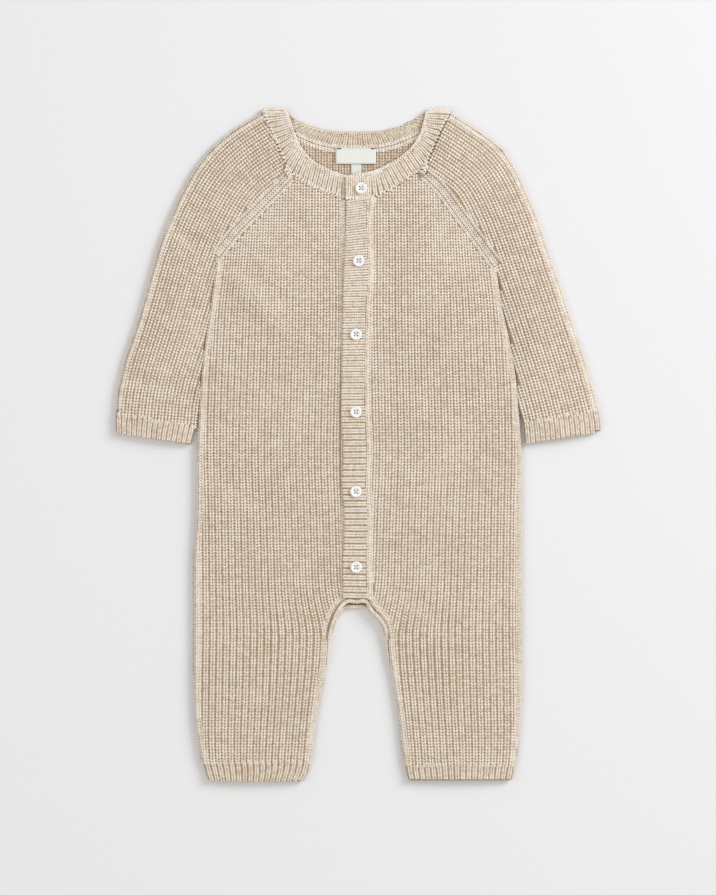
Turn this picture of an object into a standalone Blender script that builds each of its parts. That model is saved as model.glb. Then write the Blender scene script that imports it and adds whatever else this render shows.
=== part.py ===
"""Knitted baby romper with raglan sleeves and a button front, laid flat on its back.

Metres, +Z up. X runs across the garment, +Y runs from the hems to the neck, and the
surface that it lies on is z = 0. Left and right are as seen from above. The tables
are in millimetres, one row for each section across a piece, with the columns named
above them. Every cloth piece is a wall between an outer and an inner face.
"""

import math

import bmesh
import bpy
import numpy as np

MM = 0.001

# Driving sizes, in millimetres
CLOTH_WALL = 2.4  # rib knit of the body and sleeves
BAND_WALL = 2.0  # finer rib of the neckband and button bands
SEAM_GAP = 0.3  # between pieces that meet
MIDDLE = CLOTH_WALL + SEAM_GAP / 2  # height of the plane between front and back layers
FRONT_CROWN = 1.1  # how far a front stands off the back
CROWN_SKEW = 1.4  # moves that crown from the middle toward the side edge
SLEEVE_CROWN = 1.6  # how far the top of a sleeve stands off its underside
LAP_RISE = BAND_WALL  # the right front climbs this far to the buttonhole band
LAP_SLOPE = 14.0  # over this width
UNDER_BAND_X = -8.7  # the button band's seam with the left front
NECK_FOLD_Y = 249.4  # axis of the neckband's two shoulder folds
TRIM_RADIUS = 1.7  # the rolled trims at the crotch
TRIM_CLEARANCE = 0.6  # more than the seam gap, because a trim rounds the seam's corners
SLEEVE_CLEARANCE = 0.1  # besides the seam gap, for the corners of the raglan
TRIM_END = 0.22  # a trim's radius at its ends, as a part of its full radius
TRIM_TAPER = 3.2  # seam points from an end to the full radius
BUTTON_DIAMETER = 8.8
BUTTON_THICKNESS = 2.0
BUTTON_HOLE_DIAMETER = 1.2
BUTTON_HOLE_SPACING = 2.1
LABEL_SIZE = (30.4, 11.8, 0.6)
LABEL_TOP = (-2.1, 222.4)
TAB_SIZE = (7.8, 11.0, 0.35)
TAB_TOP = (-1.7, 213.4)
CREAM = (0.66, 0.53, 0.40)
PEARL = (0.87, 0.86, 0.82)
IVORY = (0.80, 0.80, 0.74)

# Fronts. Columns: x and y on the centre edge, x and y on the outer edge, and how
# rounded each of the two edges is (0 is a butt seam, 1 is a folded side).
FRONT_LEFT = [
    (-49.0, 202.5, -52.0, 201.5, 0, 0),
    (-38.0, 195.8, -59.8, 192.6, 0, 0),
    (-24.5, 189.7, -68.6, 184.2, 0, 0),
    (-9.4, 184.7, -77.0, 175.5, 0, 0),
    (-9.0, 168.0, -91.0, 162.0, 0, 0),
    (-9.0, 150.0, -105.5, 143.0, 0, 0.4),
    (-9.0, 130.0, -107.5, 127.5, 0, 1),
    (-9.0, 98.0, -111.5, 97.0, 0, 1),
    (-9.0, 77.0, -114.5, 78.0, 0, 1),
    (-9.0, 52.5, -117.5, 52.5, 0, 1),
    (-9.0, 28.0, -119.0, 28.0, 0, 1),
    (-9.0, -5.0, -120.5, -5.0, 0, 1),
    (-9.0, -30.0, -120.5, -30.0, 0, 1),
    (-9.0, -55.0, -121.0, -55.0, 0, 1),
    (-9.0, -86.0, -123.0, -86.0, 0, 1),
    (-9.0, -114.4, -123.0, -111.0, 0, 1),
    (-15.4, -119.6, -123.0, -119.6, 0, 1),
    (-19.6, -127.0, -123.0, -127.0, 0, 1),
    (-22.8, -137.0, -123.0, -137.0, 0.3, 1),
    (-24.1, -150.0, -123.0, -150.0, 0.7, 1),
    (-24.8, -165.0, -123.0, -165.0, 1, 1),
    (-28.6, -185.0, -123.0, -185.0, 1, 1),
    (-32.3, -207.0, -122.0, -206.0, 1, 1),
    (-34.8, -226.0, -119.6, -225.0, 1, 1),
    (-36.2, -238.2, -116.6, -238.0, 1, 1),
]
FRONT_RIGHT = [
    (46.0, 204.2, 49.0, 203.6, 0, 0),
    (36.5, 199.7, 56.0, 197.8, 0, 0),
    (24.4, 190.8, 63.0, 190.5, 0, 0),
    (8.2, 185.0, 76.0, 172.5, 0, 0),
    (6.6, 168.0, 90.0, 153.5, 0, 0),
    (7.4, 147.0, 102.5, 136.0, 0, 0.4),
    (8.0, 128.0, 104.5, 122.0, 0, 1),
    (6.4, 104.0, 107.6, 102.0, 0, 1),
    (5.6, 78.0, 113.0, 78.0, 0, 1),
    (5.4, 52.5, 117.5, 52.5, 0, 1),
    (5.6, 28.0, 119.6, 28.0, 0, 1),
    (7.0, -5.0, 121.9, -5.0, 0, 1),
    (5.8, -30.0, 121.9, -30.0, 0, 1),
    (7.2, -55.0, 121.9, -55.0, 0, 1),
    (6.4, -86.0, 121.9, -86.0, 0, 1),
    (6.9, -114.6, 121.9, -111.0, 0, 1),
    (12.0, -122.4, 121.9, -119.6, 0, 1),
    (18.4, -128.6, 121.9, -127.0, 0, 1),
    (22.6, -137.0, 121.9, -137.0, 0.3, 1),
    (22.9, -150.0, 121.9, -150.0, 0.7, 1),
    (24.4, -165.0, 121.9, -165.0, 1, 1),
    (27.9, -185.0, 121.9, -185.0, 1, 1),
    (31.0, -206.0, 120.8, -206.0, 1, 1),
    (33.2, -226.0, 119.2, -225.0, 1, 1),
    (35.0, -240.2, 117.0, -240.0, 1, 1),
]

ARMPIT_ROW = 5  # rows of both fronts where their parts start
CROTCH_ROW = 15
LEG_ROW = 20

# Back, above the armpits. Columns: x and y on the neck and centre line, x and y on the
# raglan.
BACK_CENTRE_X = -2.0
BACK_TOP_LEFT = [
    (-57.0, 236.4, -60.6, 236.6),
    (-45.0, 228.4, -66.0, 225.3),
    (-26.0, 221.4, -72.4, 212.0),
    (BACK_CENTRE_X, 219.8, -82.0, 192.0),
    (BACK_CENTRE_X, 180.0, -93.5, 168.0),
]
BACK_TOP_RIGHT = [
    (53.4, 236.4, 57.0, 236.6),
    (41.0, 228.4, 62.1, 225.3),
    (22.0, 221.4, 68.7, 212.0),
    (BACK_CENTRE_X, 219.8, 78.6, 187.0),
    (BACK_CENTRE_X, 180.0, 90.3, 161.0),
]

# Back, round the crotch. Columns: x and y on the inner edge, and how rounded it is.
BACK_CROTCH_LEFT = [
    (BACK_CENTRE_X, -118.6, 0),
    (-10.4, -118.8, 0),
    (-16.2, -123.8, 0),
    (-20.6, -134.0, 0.2),
    (-23.4, -148.0, 0.6),
]
BACK_CROTCH_RIGHT = [
    (BACK_CENTRE_X, -118.6, 0),
    (6.0, -118.9, 0),
    (13.2, -125.4, 0),
    (20.4, -135.0, 0.2),
    (22.6, -148.0, 0.6),
]

# Overarm folds of the sleeves, one point for each row of the front down to the cuff, and
# the lower end of each underarm. Columns: x, y.
OVERARM_LEFT = [
    (-71.4, 249.0),
    (-93.4, 236.2),
    (-110.6, 221.6),
    (-122.4, 206.6),
    (-134.6, 184.0),
    (-147.4, 154.0),
    (-152.2, 138.8),
    (-160.6, 107.6),
    (-166.0, 89.4),
    (-175.0, 63.8),
    (-180.6, 39.6),
    (-181.8, 22.8),
]
OVERARM_RIGHT = [
    (68.0, 249.0),
    (88.2, 236.2),
    (108.0, 221.6),
    (119.4, 202.4),
    (132.2, 173.4),
    (140.6, 148.0),
    (146.8, 130.4),
    (154.6, 107.6),
    (161.6, 85.6),
    (169.4, 62.8),
    (176.4, 38.0),
    (179.4, 25.4),
]
UNDERARM_END_LEFT = (-121.6, 14.4)
UNDERARM_END_RIGHT = (123.2, 16.8)

# Hems, top edge first. Columns: x and y on the inner fold, x and y on the outer fold.
SLEEVE_CUFFS = {
    "sleeve_cuff_left": [
        (-122.0, 14.0, -181.9, 22.4),
        (-123.9, 6.8, -182.1, 15.6),
        (-125.6, 0.2, -181.6, 9.2),
    ],
    "sleeve_cuff_right": [
        (123.4, 16.4, 179.6, 25.0),
        (124.2, 8.6, 181.0, 17.6),
        (124.8, 1.4, 181.4, 10.4),
    ],
}
LEG_CUFFS = {
    "leg_cuff_left": [
        (-36.3, -238.6, -116.4, -238.4),
        (-38.0, -245.6, -114.6, -245.2),
        (-41.4, -251.8, -112.6, -251.2),
    ],
    "leg_cuff_right": [
        (35.1, -240.6, 116.8, -240.4),
        (36.0, -246.2, 116.0, -245.8),
        (37.4, -251.4, 114.8, -251.2),
    ],
}

# Neckband, from its lower end at the front, round the left shoulder and the back, to its
# lapping end. Columns: x and y on the neck edge, x and y on the seam edge, how far the
# band has turned over (0 lies on the front layer, 180 on the back layer), and its lift.
NECKBAND = [
    (5.6, 202.6, 5.6, 185.4, 0, 0),
    (-9.0, 200.7, -9.0, 185.2, 0, 0),
    (-20.5, 204.8, -24.2, 190.4, 0, 0),
    (-34.0, 211.5, -37.6, 196.5, 0, 0),
    (-43.4, 221.6, -52.2, 206.0, 0, 0),
    (-48.4, 232.4, -60.7, 225.7, 0, 0),
    (-51.6, 243.0, -66.8, 239.9, 0, 0),
    (-54.8, NECK_FOLD_Y, -70.8, NECK_FOLD_Y, 0, 0),
    (-54.8, NECK_FOLD_Y, -70.8, NECK_FOLD_Y, 45, 0),
    (-54.8, NECK_FOLD_Y, -70.8, NECK_FOLD_Y, 90, 0),
    (-54.8, NECK_FOLD_Y, -70.8, NECK_FOLD_Y, 135, 0),
    (-54.8, NECK_FOLD_Y, -70.8, NECK_FOLD_Y, 180, 0),
    (-45.4, 242.4, -60.0, 238.8, 180, 0),
    (-34.0, 238.0, -44.8, 229.0, 180, 0),
    (-19.8, 234.9, -25.9, 221.9, 180, 0),
    (-2.0, 234.1, -2.0, 220.2, 180, 0),
    (16.0, 234.9, 21.9, 221.9, 180, 0),
    (30.0, 238.0, 40.8, 229.0, 180, 0),
    (40.2, 242.4, 56.4, 238.8, 180, 0),
    (51.2, NECK_FOLD_Y, 67.2, NECK_FOLD_Y, 180, 0),
    (51.2, NECK_FOLD_Y, 67.2, NECK_FOLD_Y, 135, 0),
    (51.2, NECK_FOLD_Y, 67.2, NECK_FOLD_Y, 90, 0),
    (51.2, NECK_FOLD_Y, 67.2, NECK_FOLD_Y, 45, 0),
    (51.2, NECK_FOLD_Y, 67.2, NECK_FOLD_Y, 0, 0),
    (49.6, 241.4, 63.3, 239.7, 0, 0),
    (47.0, 232.4, 57.0, 226.0, 0, 0),
    (39.6, 221.6, 48.8, 208.2, 0, 0),
    (28.8, 212.9, 36.6, 200.4, 0, 0.3),
    (17.0, 206.8, 24.0, 191.5, 0, 1.3),
    (8.6, 203.6, 8.6, 185.7, 0, 2.3),
    (-8.6, 200.8, -8.8, 185.0, 0, 2.3),
]

# Buttonhole band. Columns: y, x of its free edge, x of its seam.
PLACKET = [
    (184.4, -8.9, 6.2),
    (168.0, -9.3, 6.2),
    (147.0, -10.0, 7.0),
    (128.0, -10.8, 7.6),
    (104.0, -11.6, 6.0),
    (78.0, -11.8, 5.2),
    (52.5, -12.1, 5.0),
    (28.0, -12.7, 5.2),
    (-5.0, -11.0, 6.6),
    (-30.0, -12.1, 5.4),
    (-55.0, -10.0, 6.8),
    (-86.0, -11.5, 6.0),
    (-114.6, -11.4, 6.5),
]

BUTTONS = [(1.9, 192.4), (0.1, 138.0), (-1.9, 82.9), (-1.9, 24.8), (-1.9, -34.9), (-1.7, -91.5)]

# Edge of a laid wall: how far in from the edge, and how high, as parts of the wall's reach
ROUNDED_EDGE = [(0.0, 0.25), (0.14, 0.56), (0.5, 0.88)]
ACROSS = [1 / 6, 1 / 3, 1 / 2, 2 / 3, 5 / 6]
FOLD_TURNS = [60, 30, 0, -30, -60]


def smoothstep(value):
    """Ease from 0 to 1."""
    value = min(max(value, 0.0), 1.0)
    return value * value * (3 - 2 * value)


def material(name, colour, roughness):
    """A plain Principled material."""
    made = bpy.data.materials.new(name)
    made.use_nodes = True
    shader = made.node_tree.nodes["Principled BSDF"]
    shader.inputs["Base Color"].default_value = (*colour, 1)
    shader.inputs["Roughness"].default_value = roughness
    shader.inputs["Metallic"].default_value = 0
    return made


def add_mesh(name, verts, faces, look, collection):
    """A mesh object from points in millimetres, with its faces turned outward."""
    mesh = bpy.data.meshes.new(name)
    mesh.from_pydata([tuple(c * MM for c in v) for v in verts], [], faces)
    shell = bmesh.new()
    shell.from_mesh(mesh)
    bmesh.ops.recalc_face_normals(shell, faces=shell.faces)
    shell.to_mesh(mesh)
    shell.free()
    mesh.shade_smooth()
    mesh.set_sharp_from_angle(angle=math.radians(40))
    mesh.materials.append(look)
    thing = bpy.data.objects.new(name, mesh)
    collection.objects.link(thing)
    return thing


def grid_faces(rows, columns, start=0, ring=False):
    """Quads of a grid whose points are numbered row by row; a ring closes its rows."""
    faces = []
    for r in range(rows - 1):
        for c in range(columns if ring else columns - 1):
            near = start + r * columns
            far = near + columns
            after = (c + 1) % columns
            faces.append((near + c, near + after, far + after, far + c))
    return faces


def merge_points(outer, inner, faces):
    """Join points that two grids share, so that the grids become one surface."""
    seen = {}
    keep = []
    places = []
    for number, point in enumerate(outer):
        key = tuple(round(c, 4) for c in point)
        if key not in seen:
            seen[key] = len(keep)
            keep.append(number)
        places.append(seen[key])
    outer = [outer[n] for n in keep]
    inner = [inner[n] for n in keep]
    return outer, inner, [tuple(places[i] for i in face) for face in faces]


def close_wall(outer, inner, faces):
    """Points and faces of the closed wall between two matching faces."""
    count = len(outer)
    closed = list(faces) + [tuple(i + count for i in reversed(face)) for face in faces]
    sides = set()
    for face in faces:
        for a, b in zip(face, face[1:] + face[:1]):
            sides.add((a, b))
    for a, b in sorted(sides):
        if (b, a) not in sides:
            closed.append((b, a, a + count, b + count))
    return list(outer) + list(inner), closed


def layer_section(near, far, near_soft, far_soft, crown, side):
    """Outer and inner points of one single layer, from its near edge to its far edge.

    side is 1 for the layer on top and -1 for the one below.
    """
    near = np.array(near, float)
    far = np.array(far, float)
    width = np.linalg.norm(far - near)
    reach = min(MIDDLE, width / 4)
    columns = [(d * reach, near_soft, h) for d, h in ROUNDED_EDGE]
    columns += [(reach + part * (width - 2 * reach), 0, 1) for part in ACROSS]
    columns += [(width - d * reach, far_soft, h) for d, h in reversed(ROUNDED_EDGE)]
    outer = []
    inner = []
    for along, soft, height in columns:
        place = near + (far - near) * along / width
        lift = crown * math.sin(math.pi * (along / width) ** CROWN_SKEW)
        top = MIDDLE * (soft * height + 1 - soft)
        outer.append((place[0], place[1], MIDDLE + side * (top + lift)))
        inner.append((place[0], place[1], MIDDLE + side * (SEAM_GAP / 2 + lift)))
    return outer, inner


def layer(rows, crown, side, raised_edge=0.0):
    """A single layer lofted through its rows; its near edge may climb to a lap."""
    outer = []
    inner = []
    for near_x, near_y, far_x, far_y, near_soft, far_soft in rows:
        high, low = layer_section(
            (near_x, near_y), (far_x, far_y), near_soft, far_soft, crown, side
        )
        rise = raised_edge * (1 - near_soft)
        for points, face in ((high, outer), (low, inner)):
            for x, y, z in points:
                away = math.hypot(x - near_x, y - near_y) / LAP_SLOPE
                face.append((x, y, z + rise * smoothstep(1 - away)))
    return outer, inner, grid_faces(len(rows), len(outer) // len(rows))


def back_half(top, crotch, front):
    """Rows of one half of the back, whose side and leg are those of the front on it."""
    rows = [(*row, 0, 0) for row in top]
    for k in range(ARMPIT_ROW, CROTCH_ROW):
        rows.append((BACK_CENTRE_X, FRONT_LEFT[k][1], *front[k][2:4], 0, front[k][5]))
    for (x, y, soft), row in zip(crotch, front[CROTCH_ROW:LEG_ROW]):
        rows.append((x, y, *row[2:4], soft, row[5]))
    return rows + front[LEG_ROW:]


def moved_out(points, distance):
    """Points moved to the right of the line through them by a distance."""
    line = [np.array(point, float) for point in points]
    moved = []
    for k, point in enumerate(line):
        along = line[min(k + 1, len(line) - 1)] - line[max(k - 1, 0)]
        along /= np.linalg.norm(along)
        moved.append((point[0] + along[1] * distance, point[1] - along[0] * distance))
    return moved


def sleeve_rows(front, back, overarm, underarm_end, side):
    """Rows of a sleeve, beside the edges of the front and the back; side is -1 at left."""
    last = len(overarm) - 1
    out = -side * (SEAM_GAP + SLEEVE_CLEARANCE)
    front_edge = moved_out([row[2:4] for row in front[:last]], out)
    back_edge = moved_out([row[2:4] for row in back[:last]], out)
    softness = [row[5] for row in front[:last]]
    rows = [
        (*front_edge[k], *overarm[k], *back_edge[k], softness[k]) for k in range(last)
    ]
    rows.append((*underarm_end, *overarm[last], *underarm_end, 1))
    return rows


def tube_point(near, far, part, turn, radius, lift):
    """A point of a flattened tube: part way across, turned round its rounded edge."""
    width = np.linalg.norm(far - near)
    along = (far - near) / width
    middle = near + along * (MIDDLE + part * (width - 2 * MIDDLE))
    angle = math.radians(turn)
    place = middle + along * (radius * math.cos(angle))
    return (place[0], place[1], MIDDLE + radius * math.sin(angle) + lift)


def sleeve_wall(rows):
    """A sleeve: one layer folded at the overarm, its edges meeting at the underarm.

    Columns of its rows: x and y on the front raglan and then the underarm, x and y on the
    overarm, x and y on the back raglan and then the underarm, and the underarm's roundness.
    """
    outer = []
    inner = []
    for front_x, front_y, over_x, over_y, back_x, back_y, soft in rows:
        over = np.array((over_x, over_y))
        for side, near in ((1, (front_x, front_y)), (-1, (back_x, back_y))):
            near = np.array(near)
            width = np.linalg.norm(over - near)
            edge = [(d * MIDDLE, h) for d, h in ROUNDED_EDGE]
            edge_high = []
            edge_low = []
            for along, height in edge:
                place = near + (over - near) * along / width
                top = MIDDLE * (soft * height + 1 - soft)
                edge_high.append((place[0], place[1], MIDDLE + side * top))
                edge_low.append((place[0], place[1], MIDDLE + side * SEAM_GAP / 2))
            flat_high = []
            flat_low = []
            for part in ACROSS + [1]:
                lift = SLEEVE_CROWN * math.sin(math.pi * part) if side > 0 else 0
                turn = 90 * side
                flat_high.append(tube_point(near, over, part, turn, MIDDLE, lift))
                flat_low.append(tube_point(near, over, part, turn, SEAM_GAP / 2, lift))
            if side > 0:
                outer += edge_high + flat_high
                inner += edge_low + flat_low
                outer += [tube_point(near, over, 1, turn, MIDDLE, 0) for turn in FOLD_TURNS]
                inner += [tube_point(near, over, 1, turn, SEAM_GAP / 2, 0) for turn in FOLD_TURNS]
            else:
                outer += flat_high[::-1] + edge_high[::-1]
                inner += flat_low[::-1] + edge_low[::-1]
    return outer, inner, grid_faces(len(rows), len(outer) // len(rows))


def cuff_wall(rows, crown):
    """A hem: a flattened ring through its rows."""
    columns = [(part, 90) for part in [0] + ACROSS + [1]]
    columns += [(1, turn) for turn in FOLD_TURNS]
    columns += [(part, -90) for part in [1] + ACROSS[::-1] + [0]]
    columns += [(0, turn - 180) for turn in FOLD_TURNS]
    outer = []
    inner = []
    for near_x, near_y, far_x, far_y in rows:
        near = np.array((near_x, near_y))
        far = np.array((far_x, far_y))
        for part, turn in columns:
            lift = crown * math.sin(math.pi * part) if turn == 90 else 0
            outer.append(tube_point(near, far, part, turn, MIDDLE, lift))
            inner.append(tube_point(near, far, part, turn, SEAM_GAP / 2, lift))
    return outer, inner, grid_faces(len(rows), len(columns), ring=True)


def neckband_wall(rows):
    """The neckband: a strip that turns over at each shoulder."""
    across = [(0, 0.7), (0.1, 0.2), (0.5, 0), (0.9, 0.1), (1, 0.3)]
    outer = []
    inner = []
    for neck_x, neck_y, seam_x, seam_y, turn, lift in rows:
        angle = math.radians(turn)
        for part, thinner in across:
            x = neck_x + part * (seam_x - neck_x)
            y = neck_y + part * (seam_y - neck_y)
            for radius, face in ((MIDDLE - thinner, outer), (MIDDLE - BAND_WALL, inner)):
                z = MIDDLE + radius * math.cos(angle) + lift
                face.append((x, y + radius * math.sin(angle), z))
    return outer, inner, grid_faces(len(rows), len(across))


def strip_wall(rows):
    """A band lofted through its rows. Columns: y, x and z at each edge of its underside."""
    across = [(0, 0.6), (0.08, 0.15), (0.5, 0), (0.92, 0.15), (1, 0.6)]
    outer = []
    inner = []
    for y, near_x, near_z, far_x, far_z in rows:
        for part, thinner in across:
            x = near_x + part * (far_x - near_x)
            z = near_z + part * (far_z - near_z)
            outer.append((x, y, z + BAND_WALL - thinner))
            inner.append((x, y, z))
    return outer, inner, grid_faces(len(rows), len(across))


def trim(name, points, look, collection):
    """A rolled trim: a round cord through points. Columns: x, y, z, radius."""
    path = bpy.data.curves.new(name, "CURVE")
    path.dimensions = "3D"
    path.bevel_depth = MM
    path.bevel_resolution = 2
    path.use_fill_caps = True
    spline = path.splines.new("POLY")
    spline.points.add(len(points) - 1)
    for knot, (x, y, z, radius) in zip(spline.points, points):
        knot.co = (x * MM, y * MM, z * MM, 1)
        knot.radius = radius
    path.materials.append(look)
    cord = bpy.data.objects.new(name, path)
    collection.objects.link(cord)
    weld = cord.modifiers.new("Join the caps", "WELD")
    weld.merge_threshold = 0.00001
    return cord


def smooth_path(rows, steps):
    """A Catmull-Rom line through rows of numbers."""
    knots = [rows[0]] + list(rows) + [rows[-1]]
    knots = np.array(knots, float)
    line = []
    for k in range(1, len(knots) - 2):
        before, start, end, after = knots[k - 1 : k + 3]
        for step in range(steps):
            t = step / steps
            line.append(
                0.5
                * (
                    2 * start
                    + (end - before) * t
                    + (2 * before - 5 * start + 4 * end - after) * t**2
                    + (3 * start - before - 3 * end + after) * t**3
                )
            )
    line.append(knots[-2])
    return line


def trim_path(seam, under):
    """Centre line of a trim beside a seam, thin at both ends and resting at a height."""
    radii = []
    for k in range(len(seam)):
        end = min(k, len(seam) - 1 - k)
        radii.append(TRIM_RADIUS * (TRIM_END + (1 - TRIM_END) * smoothstep(end / TRIM_TAPER)))
    rows = []
    for k, radius in enumerate(radii):
        x, y = moved_out(seam, radius + SEAM_GAP + TRIM_CLEARANCE)[k]
        rows.append((x, y, under + radius, radius))
    return smooth_path(rows, 3)


def button_mesh(look, collection):
    """One four-hole button with a raised rim and a shallow dish, resting at z = 0."""
    radius = BUTTON_DIAMETER / 2
    profile = [
        (0.0, 0.0),
        (radius - 1.2, 0.0),
        (radius - 0.3, 0.5),
        (radius, 1.1),
        (radius - 0.2, 1.7),
        (radius - 0.8, BUTTON_THICKNESS),
        (radius - 1.4, 1.8),
        (radius - 1.9, 1.4),
        (0.0, 1.3),
    ]
    mesh = bpy.data.meshes.new("button")
    points = [(x * MM, 0, z * MM) for x, z in reversed(profile)]
    mesh.from_pydata(points, [(i, i + 1) for i in range(len(points) - 1)], [])
    turned = bpy.data.objects.new("button", mesh)
    collection.objects.link(turned)
    screw = turned.modifiers.new("Turn", "SCREW")
    screw.steps = 28
    screw.render_steps = 28
    screw.use_merge_vertices = True
    screw.merge_threshold = 0.00001
    screw.use_normal_calculate = True
    drills = bmesh.new()
    for side_x in (-1, 1):
        for side_y in (-1, 1):
            made = bmesh.ops.create_cone(
                drills,
                cap_ends=True,
                segments=10,
                radius1=BUTTON_HOLE_DIAMETER / 2 * MM,
                radius2=BUTTON_HOLE_DIAMETER / 2 * MM,
                depth=3 * BUTTON_THICKNESS * MM,
            )
            shift = (side_x * BUTTON_HOLE_SPACING / 2 * MM, side_y * BUTTON_HOLE_SPACING / 2 * MM, 0)
            bmesh.ops.translate(drills, verts=made["verts"], vec=shift)
    drill_mesh = bpy.data.meshes.new("button drills")
    drills.to_mesh(drill_mesh)
    drills.free()
    drill = bpy.data.objects.new("button drills", drill_mesh)
    bpy.context.scene.collection.objects.link(drill)
    cut = turned.modifiers.new("Holes", "BOOLEAN")
    cut.object = drill
    cut.solver = "EXACT"
    view = bpy.context.evaluated_depsgraph_get()
    finished = bpy.data.meshes.new_from_object(turned.evaluated_get(view))
    finished.shade_smooth()
    finished.set_sharp_from_angle(angle=math.radians(35))
    finished.materials.clear()
    finished.materials.append(look)
    bpy.data.objects.remove(turned)
    bpy.data.objects.remove(drill)
    return finished


def flat_tag(name, size, place, tilt, look, collection):
    """A woven tag: a thin box, its place at the middle of its upper edge's underside."""
    width, length, thickness = (s * MM for s in size)
    bpy.ops.mesh.primitive_cube_add(size=1)
    tag = bpy.context.object
    tag.name = name
    for vert in tag.data.vertices:
        vert.co.x *= width
        vert.co.y = (vert.co.y - 0.5) * length
        vert.co.z = (vert.co.z + 0.5) * thickness
    tag.location = tuple(c * MM for c in place)
    tag.rotation_euler = (tilt, 0, 0)
    tag.data.materials.append(look)
    for owner in list(tag.users_collection):
        owner.objects.unlink(tag)
    collection.objects.link(tag)
    return tag


def main():
    for thing in list(bpy.data.objects):
        bpy.data.objects.remove(thing)
    romper = bpy.data.collections.new("baby_romper")
    bpy.context.scene.collection.children.link(romper)
    knit = material("rib_knit", CREAM, 0.9)
    pearl = material("shell_button", PEARL, 0.3)
    woven = material("woven_label", IVORY, 0.6)

    def cloth(name, outer, inner, faces):
        add_mesh(name, *close_wall(outer, inner, faces), knit, romper)

    # Body: the back, then the fronts on it
    back_left = back_half(BACK_TOP_LEFT, BACK_CROTCH_LEFT, FRONT_LEFT)
    back_right = back_half(BACK_TOP_RIGHT, BACK_CROTCH_RIGHT, FRONT_RIGHT)
    left = layer(back_left, 0, -1)
    right = layer(back_right, 0, -1)
    shift = len(left[0])
    faces = left[2] + [tuple(i + shift for i in reversed(face)) for face in right[2]]
    cloth("back", *merge_points(left[0] + right[0], left[1] + right[1], faces))
    cloth("front_left", *layer(FRONT_LEFT, FRONT_CROWN, 1))
    cloth("front_right", *layer(FRONT_RIGHT, FRONT_CROWN, 1, raised_edge=LAP_RISE))

    # Sleeves and hems
    rows = sleeve_rows(FRONT_LEFT, back_left, OVERARM_LEFT, UNDERARM_END_LEFT, -1)
    cloth("sleeve_left", *sleeve_wall(rows))
    rows = sleeve_rows(FRONT_RIGHT, back_right, OVERARM_RIGHT, UNDERARM_END_RIGHT, 1)
    cloth("sleeve_right", *sleeve_wall(rows))
    for name, rows in SLEEVE_CUFFS.items():
        cloth(name, *cuff_wall(rows, SLEEVE_CROWN))
    for name, rows in LEG_CUFFS.items():
        cloth(name, *cuff_wall(rows, FRONT_CROWN))

    # Neckband and button bands
    cloth("neckband", *neckband_wall(NECKBAND))
    under_z = 2 * MIDDLE - BAND_WALL
    over_z = 2 * MIDDLE + SEAM_GAP
    under_rows = [(y, UNDER_BAND_X, under_z, seam - 0.5, under_z) for y, free, seam in PLACKET]
    top_rows = [(y, free, over_z, seam, over_z) for y, free, seam in PLACKET]
    cloth("placket_under", *strip_wall(under_rows))
    cloth("placket_top", *strip_wall(top_rows))
    button = button_mesh(pearl, romper)
    for number, (x, y) in enumerate(BUTTONS, 1):
        placed = bpy.data.objects.new(f"button_{number}", button)
        placed.location = (x * MM, y * MM, (over_z + BAND_WALL + SEAM_GAP) * MM)
        romper.objects.link(placed)

    # Rolled trims, made from the panels' crotch edges moved out
    round_left = [row[:2] for row in FRONT_LEFT[LEG_ROW : CROTCH_ROW - 1 : -1]]
    round_right = [row[:2] for row in FRONT_RIGHT[CROTCH_ROW : LEG_ROW + 1]]
    front_seam = round_left + [(-1.2, -114.8)] + round_right
    round_left = [row[:2] for row in back_left[LEG_ROW : CROTCH_ROW - 1 : -1]]
    back_seam = round_left + [row[:2] for row in back_right[CROTCH_ROW + 1 : LEG_ROW + 1]]
    trim("crotch_trim_front", trim_path(front_seam, 2 * TRIM_RADIUS + SEAM_GAP), knit, romper)
    trim("crotch_trim_back", trim_path(back_seam, 0), knit, romper)

    # Neck label and size tab, on the inside of the back
    tab_z = CLOTH_WALL + SEAM_GAP
    lap = LABEL_SIZE[1] - (LABEL_TOP[1] - TAB_TOP[1])  # of the label over the tab
    label_tilt = math.atan2(SEAM_GAP + TAB_SIZE[2], LABEL_SIZE[1] - lap)
    flat_tag("label", LABEL_SIZE, (*LABEL_TOP, tab_z + 0.1), -label_tilt, woven, romper)
    flat_tag("size_tab", TAB_SIZE, (*TAB_TOP, tab_z), 0, woven, romper)


main()
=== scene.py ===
import math

import bmesh
import bpy
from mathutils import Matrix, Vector
from mathutils.bvhtree import BVHTree


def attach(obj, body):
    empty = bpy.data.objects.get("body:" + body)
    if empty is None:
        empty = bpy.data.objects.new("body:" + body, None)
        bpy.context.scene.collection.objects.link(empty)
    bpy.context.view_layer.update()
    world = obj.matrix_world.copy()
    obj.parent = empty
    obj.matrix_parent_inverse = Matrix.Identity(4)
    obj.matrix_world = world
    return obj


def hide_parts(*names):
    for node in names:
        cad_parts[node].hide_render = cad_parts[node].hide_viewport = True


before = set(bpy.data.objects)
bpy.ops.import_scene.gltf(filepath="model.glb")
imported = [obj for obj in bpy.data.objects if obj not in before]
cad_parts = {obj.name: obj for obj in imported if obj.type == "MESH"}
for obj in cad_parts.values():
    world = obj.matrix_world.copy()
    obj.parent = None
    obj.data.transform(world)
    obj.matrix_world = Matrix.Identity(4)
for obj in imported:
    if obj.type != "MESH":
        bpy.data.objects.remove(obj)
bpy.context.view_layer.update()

# Knitted baby romper laid flat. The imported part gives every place; this script knits it.
# Points and sizes are in millimetres, and mm turns them into metres when a mesh is made.

mm = 0.001


def addObject(name, data):
    made = bpy.data.objects.new(name, data)
    bpy.context.scene.collection.objects.link(made)
    return made


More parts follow.
